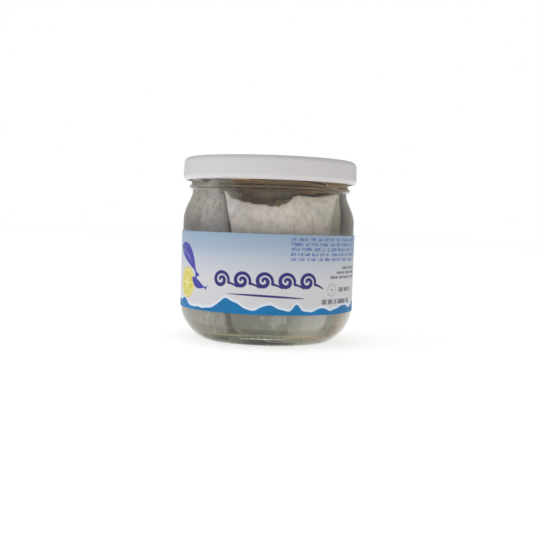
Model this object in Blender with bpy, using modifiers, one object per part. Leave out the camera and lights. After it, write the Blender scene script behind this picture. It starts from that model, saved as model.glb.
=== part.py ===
"""A twist-off glass jar of rolled, pickled fish fillets: jar, lid, wrap-around label and the rolls inside.

Metres, +Z up. The origin is on the jar's axis, in the plane that it stands on, and the label's front
faces -Y. A bearing is an angle round the axis, from the front (-Y) towards the right (+X).
"""

import math

import bmesh
import bpy
from mathutils import Vector

MM = 0.001

# The glass jar, from its base up. Radii are of the outer face unless the name says inner.
SIDES = 48
BASE_RING_INNER = 26.5 * MM
BASE_RING_OUTER = 30.5 * MM
PUSH_UP = 2.6 * MM
BODY_RADIUS = 42.45 * MM
HEEL_TOP = 14.0 * MM
HEEL_SQUARENESS = 1.5
SHOULDER_BOTTOM = 58.0 * MM
SHOULDER_TOP = 71.8 * MM
SHOULDER_SKEW = 0.75
NECK_RADIUS = 38.3 * MM
BEAD_RADIUS = 39.9 * MM
BEAD_BOTTOM = 73.6 * MM
BEAD_TOP = 75.6 * MM
FINISH_RADIUS = 38.9 * MM
MOUTH_RADIUS = 36.2 * MM
RIM_TOP = 88.0 * MM
INNER_BODY_RADIUS = 40.0 * MM
INNER_HEEL_TOP = 16.0 * MM
INNER_FLOOR_RADIUS = 27.0 * MM
INNER_FLOOR = 5.0 * MM
INNER_FLOOR_RISE = 1.5 * MM

# The four thread ridges that the lid's lugs turn under.
THREADS = 4
THREAD_DEPTH = 1.2 * MM
THREAD_TOP = 83.5 * MM
THREAD_BOTTOM = 77.0 * MM
THREAD_ARC = math.radians(80)
THREAD_START = math.radians(-36)
THREAD_POINTS = 9

# The pressed steel lid.
LID_RADIUS = 43.0 * MM
LID_BOTTOM = 77.7 * MM
LID_TOP = 88.9 * MM
LID_WALL = 0.6 * MM
LID_SHOULDER = 2.6 * MM
CURL_HALF_WIDTH = 0.95 * MM
CURL_HALF_HEIGHT = 1.7 * MM
PANEL_EDGE_RADIUS = 35.4 * MM
PANEL_DROP = 0.9 * MM
PANEL_SLOPE = 1.2 * MM
BUTTON_RADIUS = 13.0 * MM
BUTTON_RISE = 0.4 * MM
LUG_WIDTH = 9.0 * MM
LUG_INNER_RADIUS = 40.3 * MM
LUG_HEIGHT = 1.1 * MM
LUG_BEARING = THREAD_START + math.radians(8)

# The paper label, which leaves a strip of glass bare at the back.
LABEL_BOTTOM = 15.9 * MM
LABEL_TOP = 53.0 * MM
LABEL_OUTER_RADIUS = 43.0 * MM
LABEL_THICKNESS = 0.25 * MM
LABEL_BARE_ARC = math.radians(27)
LABEL_STEPS = 60

# The rolled fillets: four to a jar, stood on end, each pressed into its own share of the room.
ROLL_GAP = 0.6 * MM
ROLL_OVERLAP = 0.4 * MM
ROLL_SQUARENESS = 6
ROLL_MIDDLE = 21.5 * MM
ROLL_BOTTOM = 7.3 * MM
END_ROUNDING = 2.4 * MM
FILLET_THICKNESS = 4.8 * MM
FILLET_TURNS = 1.45
WINDING_GAP = 0.8 * MM
GROOVE_DEPTH = 4.0 * MM
FILLET_COLUMNS = 40
FILLET_ROWS = 7
CORE_SIDES = 24
CENTRE_CORE_RADIUS = 12.0 * MM
CENTRE_CORE_TOP = 60.0 * MM

# Each roll: the bearings between which it lies, how far it stays inside the others' reach, the
# heights of its upper edge at even steps from its start to its end, the bearing from its own middle
# at which its outer end lies, and the way that it was rolled up, 1 or -1 (degrees and millimetres).
ROLLS = (
    {"start": -33, "end": 57, "inset": 0.0, "end_bearing": -88, "turn": 1,
     "edge": (71.0, 66.8, 65.8, 64.6, 64.2, 68.6, 70.4, 70.6, 71.0, 71.9)},
    {"start": 57, "end": 146, "inset": 3.5, "end_bearing": 50, "turn": -1,
     "edge": (71.5, 73.0, 72.0, 74.5)},
    {"start": 146, "end": 236, "inset": 1.0, "end_bearing": 250, "turn": 1,
     "edge": (74.5, 75.6, 76.0, 75.0, 74.5)},
    {"start": 236, "end": 327, "inset": 0.0, "end_bearing": 62, "turn": -1,
     "edge": (73.0, 72.4, 72.8, 73.3)},
)


def clear_scene():
    for obj in list(bpy.data.objects):
        bpy.data.objects.remove(obj)


def new_collection(name):
    collection = bpy.data.collections.new(name)
    bpy.context.scene.collection.children.link(collection)
    return collection


def new_material(name, colour, roughness, metallic=0.0, transmission=0.0):
    material = bpy.data.materials.new(name)
    material.use_nodes = True
    shader = material.node_tree.nodes["Principled BSDF"]
    shader.inputs["Base Color"].default_value = (*colour, 1.0)
    shader.inputs["Roughness"].default_value = roughness
    shader.inputs["Metallic"].default_value = metallic
    shader.inputs["Transmission Weight"].default_value = transmission
    return material


def add_object(name, data, collection, material=None):
    obj = bpy.data.objects.new(name, data)
    collection.objects.link(obj)
    if material:
        data.materials.append(material)
    return obj


def arc(centre_x, centre_z, radius_x, radius_z, start_deg, end_deg, steps):
    """Points of an elliptical arc in the profile plane, both ends included."""
    points = []
    for i in range(steps + 1):
        angle = math.radians(start_deg + (end_deg - start_deg) * i / steps)
        points.append((centre_x + radius_x * math.cos(angle), centre_z + radius_z * math.sin(angle)))
    return points


def turned(name, profile, collection, material):
    """A solid of revolution: the profile, a line from axis to axis, turned round Z by a Screw."""
    mesh = bpy.data.meshes.new(name)
    edges = [(i, i + 1) for i in range(len(profile) - 1)]
    mesh.from_pydata([(x, 0.0, z) for x, z in profile], edges, [])
    obj = add_object(name, mesh, collection, material)
    screw = obj.modifiers.new("turn", "SCREW")
    screw.axis = "Z"
    screw.steps = SIDES
    screw.render_steps = SIDES
    screw.use_merge_vertices = True
    screw.merge_threshold = 0.00001
    screw.use_smooth_shade = True
    return obj


def polar(bearing, radius, height):
    return Vector((radius * math.sin(bearing), -radius * math.cos(bearing), height))


def shoulder_share(height):
    """0 at the neck and 1 at the body: the S-shaped flare of the shoulder, fuller towards the body."""
    t = (SHOULDER_TOP - height) / (SHOULDER_TOP - SHOULDER_BOTTOM)
    return math.sin(math.pi / 2 * min(1.0, max(0.0, t)) ** SHOULDER_SKEW) ** 2


def jar_profile():
    """From the middle of the inner floor up the inside, over the rim and down the outside."""
    rim = (FINISH_RADIUS - MOUTH_RADIUS) / 2
    shoulder_steps = 6
    heights = [
        SHOULDER_BOTTOM + (SHOULDER_TOP - SHOULDER_BOTTOM) * i / shoulder_steps
        for i in range(shoulder_steps + 1)
    ]
    inside = [
        (0.0, INNER_FLOOR + INNER_FLOOR_RISE),
        (INNER_FLOOR_RADIUS / 2, INNER_FLOOR + INNER_FLOOR_RISE * 0.7),
    ]
    inside += arc(
        INNER_FLOOR_RADIUS, INNER_HEEL_TOP,
        INNER_BODY_RADIUS - INNER_FLOOR_RADIUS, INNER_HEEL_TOP - INNER_FLOOR, -90, 0, 6,
    )
    inside += [
        (MOUTH_RADIUS + (INNER_BODY_RADIUS - MOUTH_RADIUS) * shoulder_share(z), z) for z in heights
    ]
    over_rim = arc(MOUTH_RADIUS + rim, RIM_TOP - rim, rim, rim, 180, 0, 4)
    bead = arc(
        FINISH_RADIUS, (BEAD_TOP + BEAD_BOTTOM) / 2,
        BEAD_RADIUS - FINISH_RADIUS, (BEAD_TOP - BEAD_BOTTOM) / 2, 90, -90, 4,
    )
    outside = [
        (NECK_RADIUS + (BODY_RADIUS - NECK_RADIUS) * shoulder_share(z), z) for z in reversed(heights)
    ]
    power = 2 / HEEL_SQUARENESS
    heel = [
        (
            BASE_RING_OUTER + (BODY_RADIUS - BASE_RING_OUTER) * math.cos(a) ** power,
            HEEL_TOP * (1 - math.sin(a) ** power),
        )
        for a in (math.pi / 2 * i / 6 for i in range(6))
    ]
    base = [
        (BASE_RING_OUTER, 0.0),
        (BASE_RING_INNER, 0.0),
        (BASE_RING_INNER * 0.92, PUSH_UP * 0.45),
        (BASE_RING_INNER * 0.5, PUSH_UP * 0.85),
        (0.0, PUSH_UP),
    ]
    return inside + over_rim + bead + [(NECK_RADIUS, BEAD_BOTTOM - 0.3 * MM)] + outside + heel + base


def mesh_from_curve(curve_object):
    """The curve as a closed mesh, its loose caps welded, in the curve's place."""
    graph = bpy.context.evaluated_depsgraph_get()
    mesh = bpy.data.meshes.new_from_object(curve_object.evaluated_get(graph))
    bm = bmesh.new()
    bm.from_mesh(mesh)
    bmesh.ops.remove_doubles(bm, verts=bm.verts, dist=0.00001)
    bm.to_mesh(mesh)
    bm.free()
    name = curve_object.name
    obj = bpy.data.objects.new(name + "_solid", mesh)
    obj.matrix_world = curve_object.matrix_world
    curve_object.users_collection[0].objects.link(obj)
    bpy.data.objects.remove(curve_object)


def thread_ridge(number, collection):
    """One ridge of the thread, a round bar sunk to half its depth in the finish, thinner at its ends."""
    curve = bpy.data.curves.new("thread_%d" % number, "CURVE")
    curve.dimensions = "3D"
    curve.bevel_depth = THREAD_DEPTH
    curve.bevel_resolution = 1
    curve.use_fill_caps = True
    spline = curve.splines.new("POLY")
    spline.points.add(THREAD_POINTS - 1)
    for i, point in enumerate(spline.points):
        share = i / (THREAD_POINTS - 1)
        bearing = THREAD_START + 2 * math.pi * number / THREADS + THREAD_ARC * share
        height = THREAD_TOP + (THREAD_BOTTOM - THREAD_TOP) * share
        point.co = (*polar(bearing, FINISH_RADIUS, height), 1.0)
        point.radius = 0.35 + 0.65 * math.sin(math.pi * share) ** 0.5
    curve_object = add_object(curve.name, curve, collection)
    bpy.context.view_layer.update()
    mesh_from_curve(curve_object)


def join(target, collection, solver="EXACT"):
    """Fuses every object of the collection to the target, and removes them and the collection."""
    union = target.modifiers.new("join", "BOOLEAN")
    union.operation = "UNION"
    union.operand_type = "COLLECTION"
    union.collection = collection
    union.solver = solver
    bpy.context.view_layer.update()
    graph = bpy.context.evaluated_depsgraph_get()
    mesh = bpy.data.meshes.new_from_object(target.evaluated_get(graph))
    target.modifiers.clear()
    target.data = mesh
    mesh.name = target.name
    for obj in list(collection.objects):
        bpy.data.objects.remove(obj)
    bpy.data.collections.remove(collection)


def make_jar(model):
    glass = new_material("soda_lime_glass", (0.86, 0.9, 0.87), 0.03, transmission=1.0)
    jar = turned("jar", jar_profile(), model, glass)
    threads = new_collection("threads")
    for number in range(THREADS):
        thread_ridge(number, threads)
    join(jar, threads)
    jar.data.shade_smooth()
    jar.data.set_sharp_from_angle(angle=math.radians(40))


def lid_profile():
    """From the middle of the top, down the skirt, round the curl and back under the panel."""
    skirt = LID_RADIUS - 0.25 * MM
    outer = [(0.0, LID_TOP - PANEL_DROP + BUTTON_RISE)]
    outer += [
        (BUTTON_RADIUS * 0.9, LID_TOP - PANEL_DROP + BUTTON_RISE * 0.8),
        (BUTTON_RADIUS, LID_TOP - PANEL_DROP),
        (PANEL_EDGE_RADIUS - PANEL_SLOPE, LID_TOP - PANEL_DROP),
        (PANEL_EDGE_RADIUS, LID_TOP),
    ]
    outer += arc(
        skirt - LID_SHOULDER, LID_TOP - LID_SHOULDER, LID_SHOULDER, LID_SHOULDER, 90, 0, 5
    )
    curl = arc(
        LID_RADIUS - CURL_HALF_WIDTH, LID_BOTTOM + CURL_HALF_HEIGHT,
        CURL_HALF_WIDTH, CURL_HALF_HEIGHT, 0, -235, 9
    )
    inner_radius = LID_SHOULDER - LID_WALL
    inner = [(skirt - LID_WALL, LID_BOTTOM + 2.3 * CURL_HALF_HEIGHT)]
    inner += arc(skirt - LID_SHOULDER, LID_TOP - LID_SHOULDER, inner_radius, inner_radius, 0, 90, 3)
    inner += [
        (PANEL_EDGE_RADIUS - LID_WALL / 2, LID_TOP - LID_WALL),
        (PANEL_EDGE_RADIUS - PANEL_SLOPE - LID_WALL / 2, LID_TOP - PANEL_DROP - LID_WALL),
        (BUTTON_RADIUS, LID_TOP - PANEL_DROP - LID_WALL),
        (0.0, LID_TOP - PANEL_DROP + BUTTON_RISE - LID_WALL),
    ]
    return outer + curl + inner


def lid_lug(number, collection):
    """A lug: the curl pressed inwards, to catch under a thread ridge."""
    bm = bmesh.new()
    bmesh.ops.create_cube(bm, size=1.0)
    reach = LID_RADIUS - CURL_HALF_WIDTH - LUG_INNER_RADIUS
    bmesh.ops.scale(bm, vec=(LUG_WIDTH, reach, LUG_HEIGHT), verts=bm.verts)
    mesh = bpy.data.meshes.new("lug_%d" % number)
    bm.to_mesh(mesh)
    bm.free()
    lug = add_object(mesh.name, mesh, collection)
    bearing = LUG_BEARING + 2 * math.pi * number / THREADS
    lug.location = polar(bearing, LUG_INNER_RADIUS + reach / 2, LID_BOTTOM + LUG_HEIGHT)
    lug.rotation_euler = (0.0, 0.0, bearing)


def make_lid(model):
    steel = new_material("white_lacquered_tinplate", (0.78, 0.78, 0.78), 0.32)
    lid = turned("lid", lid_profile(), model, steel)
    lugs = new_collection("lugs")
    for number in range(THREADS):
        lid_lug(number, lugs)
    join(lid, lugs)
    lid.data.shade_smooth()
    lid.data.set_sharp_from_angle(angle=math.radians(40))


def sheet_mesh(name, columns, rows, place):
    """A grid of columns by rows whose points the function place(u, v) puts in space, u and v 0 to 1."""
    bm = bmesh.new()
    bmesh.ops.create_grid(bm, x_segments=columns, y_segments=rows, size=0.5)
    for vertex in bm.verts:
        vertex.co = place(vertex.co.x + 0.5, vertex.co.y + 0.5)
    mesh = bpy.data.meshes.new(name)
    bm.to_mesh(mesh)
    bm.free()
    return mesh


def thicken(obj, thickness, offset):
    solidify = obj.modifiers.new("thickness", "SOLIDIFY")
    solidify.thickness = thickness
    solidify.offset = offset


def make_label(model):
    paper = new_material("label_paper", (0.62, 0.67, 0.74), 0.5)
    half = math.pi - LABEL_BARE_ARC / 2

    def place(u, v):
        bearing = -half + 2 * half * u
        return polar(bearing, LABEL_OUTER_RADIUS, LABEL_BOTTOM + (LABEL_TOP - LABEL_BOTTOM) * v)

    mesh = sheet_mesh("label", LABEL_STEPS, 1, place)
    label = add_object("label", mesh, model, paper)
    thicken(label, LABEL_THICKNESS, -1.0)


def wall_limit(height):
    """The greatest radius at which a roll may lie at this height, clear of the glass."""
    if height < INNER_HEEL_TOP:
        drop = min(1.0, (INNER_HEEL_TOP - height) / (INNER_HEEL_TOP - INNER_FLOOR))
        radius = INNER_FLOOR_RADIUS + (INNER_BODY_RADIUS - INNER_FLOOR_RADIUS) * math.sqrt(1 - drop ** 2)
    else:
        radius = MOUTH_RADIUS + (INNER_BODY_RADIUS - MOUTH_RADIUS) * shoulder_share(height)
    return radius - ROLL_GAP


def roll_middle(roll):
    """The roll's own middle, halfway between the bearings that bound it."""
    return polar(math.radians((roll["start"] + roll["end"]) / 2), ROLL_MIDDLE, 0.0)


def roll_point(roll, bearing, shrink, height):
    """A point of the roll's outline, seen from its middle at this bearing, moved in by shrink.

    The outline is a smooth minimum of the distances to what bounds the roll: the glass, and the
    planes through the axis where its two neighbours start.
    """
    middle = roll_middle(roll)
    direction = polar(bearing, 1.0, 0.0)
    inwards = -middle.dot(direction)
    wall = wall_limit(height) - roll["inset"] * MM
    reaches = [inwards + math.sqrt(inwards ** 2 + wall ** 2 - middle.length_squared)]
    for key, side in (("start", -1), ("end", 1)):
        edge = math.radians(roll[key])
        normal = Vector((math.cos(edge), math.sin(edge), 0.0)) * side
        facing = direction.dot(normal)
        if facing > 0.001:
            reaches.append((ROLL_OVERLAP - middle.dot(normal)) / facing)
    reach = sum(r ** -ROLL_SQUARENESS for r in reaches) ** (-1 / ROLL_SQUARENESS)
    point = middle + direction * (reach - shrink)
    point.z = height
    return point


def roll_top(roll, bearing, shrink):
    """The height of the fillet's upper edge there: its listed heights, eased from one to the next."""
    point = roll_point(roll, bearing, shrink, SHOULDER_BOTTOM)
    from_start = (math.degrees(math.atan2(point.x, -point.y)) - roll["start"] + 90) % 360 - 90
    place = from_start / (roll["end"] - roll["start"]) * (len(roll["edge"]) - 1)
    place = min(max(place, 0.0), len(roll["edge"]) - 1.001)
    low, high = roll["edge"][int(place)], roll["edge"][int(place) + 1]
    part = place - int(place)
    return (low + (high - low) * part ** 2 * (3 - 2 * part)) * MM


def rolled_fillet(number, roll, collection):
    """A fillet wound up from its inner end: a sheet on a spiral, given the fish's thickness inwards."""
    winding = (FILLET_THICKNESS + WINDING_GAP) * FILLET_TURNS

    def place(u, v):
        bearing = math.radians(roll["end_bearing"]) + roll["turn"] * 2 * math.pi * FILLET_TURNS * u
        top = roll_top(roll, bearing, winding * u)
        height = ROLL_BOTTOM + (top - ROLL_BOTTOM) * v
        rounding = END_ROUNDING * abs(2 * v - 1) ** 5
        return roll_point(roll, bearing, winding * u + rounding, height)

    mesh = sheet_mesh("fillet_%d" % number, FILLET_COLUMNS, FILLET_ROWS, place)
    fillet = add_object(mesh.name, mesh, collection)
    thicken(fillet, FILLET_THICKNESS, -roll["turn"])


def roll_core(number, roll, collection):
    """What lies inside the outer winding, lower than its edges, so that the ends keep a spiral groove."""
    low = ROLL_BOTTOM + GROOVE_DEPTH
    high = min(roll["edge"]) * MM - GROOVE_DEPTH
    bm = bmesh.new()
    bmesh.ops.create_cone(
        bm, cap_ends=True, segments=CORE_SIDES, radius1=1.0, radius2=1.0, depth=1.0
    )
    for vertex in bm.verts:
        bearing = math.atan2(vertex.co.x, -vertex.co.y)
        height = low if vertex.co.z < 0 else high
        vertex.co = roll_point(roll, bearing, FILLET_THICKNESS / 2, height)
    mesh = bpy.data.meshes.new("core_%d" % number)
    bm.to_mesh(mesh)
    bm.free()
    add_object(mesh.name, mesh, collection)


def make_rolls(model):
    fish = new_material("pickled_fish", (0.5, 0.46, 0.43), 0.35)
    bm = bmesh.new()
    bmesh.ops.create_cone(
        bm, cap_ends=True, segments=CORE_SIDES,
        radius1=CENTRE_CORE_RADIUS, radius2=CENTRE_CORE_RADIUS, depth=CENTRE_CORE_TOP - INNER_HEEL_TOP,
    )
    bmesh.ops.translate(bm, vec=(0.0, 0.0, (CENTRE_CORE_TOP + INNER_HEEL_TOP) / 2), verts=bm.verts)
    mesh = bpy.data.meshes.new("rollmops")
    bm.to_mesh(mesh)
    bm.free()
    heap = add_object("rollmops", mesh, model, fish)
    pieces = new_collection("rolled_pieces")
    for number, roll in enumerate(ROLLS):
        roll_core(number, roll, pieces)
        rolled_fillet(number, roll, pieces)
    join(heap, pieces, solver="MANIFOLD")
    heap.data.shade_smooth()
    heap.data.set_sharp_from_angle(angle=math.radians(50))


def main():
    clear_scene()
    model = new_collection("jar_of_rollmops")
    make_jar(model)
    make_lid(model)
    make_label(model)
    make_rolls(model)


main()
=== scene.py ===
"""A twist-off glass jar of rolled, pickled herring fillets in brine: its finishes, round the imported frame.

Metres, +Z up, the origin on the jar's axis in the plane that it stands on, the label's front to -Y.
A bearing is an angle round the axis, from the front (-Y) towards the right (+X).
"""

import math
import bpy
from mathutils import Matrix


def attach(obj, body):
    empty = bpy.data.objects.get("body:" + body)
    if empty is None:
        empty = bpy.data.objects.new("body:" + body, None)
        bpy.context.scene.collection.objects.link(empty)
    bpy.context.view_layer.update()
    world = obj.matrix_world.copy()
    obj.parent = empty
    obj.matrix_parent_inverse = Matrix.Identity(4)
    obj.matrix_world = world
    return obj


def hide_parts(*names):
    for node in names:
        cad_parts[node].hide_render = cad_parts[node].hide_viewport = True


bl_info = {
    "name": "Jar of Rollmops",
    "version": (1, 0, 0),
    "blender": (4, 5, 0),
    "location": "3D View > Sidebar > Jar",
    "description": "Glass jar, lacquered lid, printed label, rolled fillets and brine, from a few sizes",
    "category": "Add Mesh",
}

from functools import partial

import bpy
import numpy as np
from mathutils import Matrix

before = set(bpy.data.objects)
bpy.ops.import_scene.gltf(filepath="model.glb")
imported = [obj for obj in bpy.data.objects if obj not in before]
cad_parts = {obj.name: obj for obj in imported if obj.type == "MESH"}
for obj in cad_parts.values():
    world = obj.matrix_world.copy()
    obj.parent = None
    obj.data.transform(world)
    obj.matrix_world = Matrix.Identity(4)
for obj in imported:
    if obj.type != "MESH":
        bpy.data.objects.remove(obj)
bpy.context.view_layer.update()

MM = 0.001
ROUND = 2 * math.pi
# The turned profiles stop this far from the axis, and a fan closes them.
POLE_RADIUS = 2 * MM


# Meshes from grids of points

def signed_volume(points, faces):
    """The volume inside closed quads or triangles: a sixth of the sum of each triangle's triple product."""
    total = 0.0
    for corner in range(1, faces.shape[1] - 1):
        a, b, c = points[faces[:, 0]], points[faces[:, corner]], points[faces[:, corner + 1]]
        total += np.einsum("ij,ij->i", a, np.cross(b, c)).sum() / 6
    return total


def mesh_piece(name, points, quads, triangles=None, attributes=None, smooth=True):
    """A closed piece from its points and faces, turned outwards if its signed volume is negative."""
    triangles = np.empty((0, 3), int) if triangles is None else triangles
    volume = signed_volume(points, quads) + signed_volume(points, triangles)
    if volume < 0:
        quads, triangles = quads[:, ::-1], triangles[:, ::-1]
    mesh = bpy.data.meshes.new(name)
    mesh.from_pydata(points, [], quads.tolist() + triangles.tolist())
    for key, values in (attributes or {}).items():
        mesh.attributes.new(key, "FLOAT", "POINT").data.foreach_set("value", np.ravel(values))
    mesh.polygons.foreach_set("use_smooth", np.full(len(mesh.polygons), smooth))
    mesh.validate()
    piece = bpy.data.objects.new(name, mesh)
    bpy.context.scene.collection.objects.link(piece)
    return piece


def together(*parts):
    """The parts' numbers side by side, along the last axis of one array."""
    return np.stack(np.broadcast_arrays(*parts), axis=-1)


def grid_quads(rows, columns, wrap_rows=False, wrap_columns=False):
    """The quads between neighbours on a grid of points, joined up round it where it wraps."""
    index = np.arange(rows * columns).reshape(rows, columns)
    if wrap_rows:
        index = np.vstack([index, index[:1]])
    if wrap_columns:
        index = np.hstack([index, index[:, :1]])
    quads = together(index[:-1, :-1], index[1:, :-1], index[1:, 1:], index[:-1, 1:])
    return quads.reshape(-1, 4)


def polar(bearing, radius, height):
    """Points at these bearings, distances from the axis and heights, as one array of x, y, z."""
    return together(radius * np.sin(bearing), -radius * np.cos(bearing), height)


def ringed_piece(name, grid, first_pole, last_pole, smooth=True):
    """A closed piece from rows of points that join up in a ring, with a fan from each of its two poles."""
    rows, columns = grid.shape[:2]
    points = np.vstack([grid.reshape(-1, 3), [first_pole, last_pole]])
    here = np.arange(rows) * columns
    there = np.roll(here, -1)
    first = together(rows * columns, there, here)
    last = together(rows * columns + 1, here + columns - 1, there + columns - 1)
    quads = grid_quads(rows, columns, wrap_rows=True)
    return mesh_piece(name, points, quads, np.vstack([first, last]), smooth=smooth)


def turned_grid(profile, steps):
    """The bearings of a form turned round the axis, and its profile's radii and heights at each of them."""
    bearings = np.linspace(0, ROUND, steps, endpoint=False)[:, None]
    radii, heights = (np.tile(profile[:, part], (steps, 1)) for part in (0, 1))
    return bearings, radii, heights


def turned_piece(name, bearings, radii, heights, first_pole, last_pole, smooth=True):
    """A closed turned form: each row is the profile at one bearing, between two heights on the axis."""
    grid = polar(bearings, radii, heights)
    return ringed_piece(name, grid, (0, 0, first_pole), (0, 0, last_pole), smooth)


def arc(centre, radii, start, end, count):
    """Points of an elliptical arc in the profile plane, from the angle start to end, in degrees."""
    angle = np.radians(np.linspace(start, end, count))
    return together(centre[0] + radii[0] * np.cos(angle), centre[1] + radii[1] * np.sin(angle))


def eased(share):
    """A share from 0 to 1, with no jump in slope at either end."""
    share = np.clip(share, 0.0, 1.0)
    return share * share * (3 - 2 * share)


def patches(x, y, cell_x, cell_y, seed):
    """Smooth unevenness from -1 to 1: random values on a lattice of cells, eased between its corners."""
    lattice = np.random.default_rng(seed).uniform(-1, 1, (97, 89))
    px, py = np.broadcast_arrays(x / cell_x, y / cell_y)
    ix, iy = np.floor(px).astype(int), np.floor(py).astype(int)
    fx, fy = eased(px - ix), eased(py - iy)
    corner = [[lattice[(ix + i) % 97, (iy + j) % 89] for j in (0, 1)] for i in (0, 1)]
    low = corner[0][0] * (1 - fy) + corner[0][1] * fy
    high = corner[1][0] * (1 - fy) + corner[1][1] * fy
    return low * (1 - fx) + high * fx


# Materials

def linear(colour):
    """An sRGB hex colour, such as "ffffff", as the linear values that Blender's shaders take."""
    values = [int(colour[i:i + 2], 16) / 255 for i in (0, 2, 4)]
    return tuple(v / 12.92 if v <= 0.04045 else ((v + 0.055) / 1.055) ** 2.4 for v in values) + (1.0,)


def add_node(tree, kind, inputs=None, out=0, **settings):
    """Adds one node and gives its output, by name or place.

    The inputs are values, sRGB hex colours or other nodes' outputs.
    """
    node = tree.nodes.new("ShaderNode" + kind)
    for key, value in settings.items():
        setattr(node, key, value)
    for key, value in (inputs or {}).items():
        if isinstance(value, bpy.types.NodeSocket):
            tree.links.new(value, node.inputs[key])
        else:
            node.inputs[key].default_value = linear(value) if isinstance(value, str) else value
    return node if out is None else node.outputs[out]


def new_material(name):
    """A material with an empty node tree, and the way to add a node to it."""
    material = bpy.data.materials.new(name)
    material.use_nodes = True
    material.node_tree.nodes.clear()
    return material, partial(add_node, material.node_tree)


def patterns(node, table, roughness=0.5, place=None):
    """Uneven patterns by name, from a table of each one's lumps, in real mm along x, y and z, and its detail."""
    if place is None:
        place = node("TexCoord", out="Object")
    found = {}
    for key, lumps, detail in table:
        scaled = node("Mapping", {"Vector": place, "Scale": tuple(1000 / lump for lump in lumps)})
        inputs = {"Vector": scaled, "Scale": 1.0, "Detail": detail, "Roughness": roughness}
        found[key] = node("TexNoise", inputs)
    return found


def covered(node, colour, layers, **settings):
    """A colour with others over it, each as far as its own pattern says: from none at low to most at high.

    MapRange turns the range between its inputs 1 and 2 into 3 to 4, and Mix blends its inputs 6 and 7.
    """
    for pattern, low, high, most, above in layers:
        share = node("MapRange", {0: pattern, 1: low, 2: high, 4: most}, **settings)
        colour = node("Mix", {0: share, 6: colour, 7: above}, 2, data_type="RGBA")
    return colour


def lit_through(node, clear, tint):
    """The clear shader, but open to lamps and to diffuse light, so that what is inside is lit evenly."""
    ray = node("LightPath", out=None).outputs
    soft = node("Math", {0: ray["Is Shadow Ray"], 1: ray["Is Diffuse Ray"]}, operation="MAXIMUM")
    return node("MixShader", {0: soft, 1: clear, 2: node("BsdfTransparent", {"Color": tint})})


def glass_material(look):
    """Soda-lime glass, pressed: clear, faintly green at its edges, with a skin that sways very slightly.

    It is a little rougher than real glass, which blurs thin lines as a pressed wall's many small waves do.
    """
    material, node = new_material("soda_lime_glass_pressed")
    sway = patterns(node, (("sway", (9.0, 9.0, 20.0), 1.0),))["sway"]
    clear = node("BsdfPrincipled", {
        "Base Color": look.glass_tint, "Roughness": 0.06, "IOR": 1.5, "Transmission Weight": 1.0,
        "Normal": node("Bump", {"Height": sway, "Distance": 0.03 * MM}),
    })
    edge = node("VolumeAbsorption", {"Color": "5fd98a", "Density": 8.0})
    node("OutputMaterial", {"Surface": lit_through(node, clear, "fbfcfb"), "Volume": edge}, None)
    return material


def brine_material(look):
    """Vinegar brine with fish juices: clear, but brown where one looks through several centimetres."""
    material, node = new_material("vinegar_brine")
    clear = node("BsdfPrincipled", {
        "Base Color": "ffffff", "Roughness": 0.0, "IOR": 1.34, "Transmission Weight": 1.0,
    })
    depth = node("VolumeAbsorption", {"Color": look.brine_colour, "Density": look.brine_density})
    node("OutputMaterial", {"Surface": lit_through(node, clear, "ffffff"), "Volume": depth}, None)
    return material


def lacquer_material(look):
    """White lacquer roller-coated on tinplate and stamped: satin, with faint orange peel and a few scuffs."""
    material, node = new_material("white_lacquer_on_tinplate")
    found = patterns(node, (
        ("peel", (0.7, 0.7, 0.7), 2.0), ("cloud", (22.0, 22.0, 22.0), 2.0), ("scuff", (14.0, 14.0, 1.5), 4.0),
    ), 0.6)
    colour = covered(node, look.lid_colour, (
        (found["cloud"], 0.3, 0.7, 1.0, "d6d4d4"), (found["scuff"], 0.66, 0.72, 0.25, "b9b7b6"),
    ))
    shader = node("BsdfPrincipled", {
        "Base Color": colour, "IOR": 1.5, "Coat Weight": 0.2, "Coat Roughness": 0.25,
        "Roughness": node("MapRange", {0: found["scuff"], 1: 0.3, 2: 0.8, 3: 0.3, 4: 0.46}),
        "Normal": node("Bump", {"Height": found["peel"], "Distance": 0.012 * MM}),
    })
    node("OutputMaterial", {"Surface": shader}, None)
    return material


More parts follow.
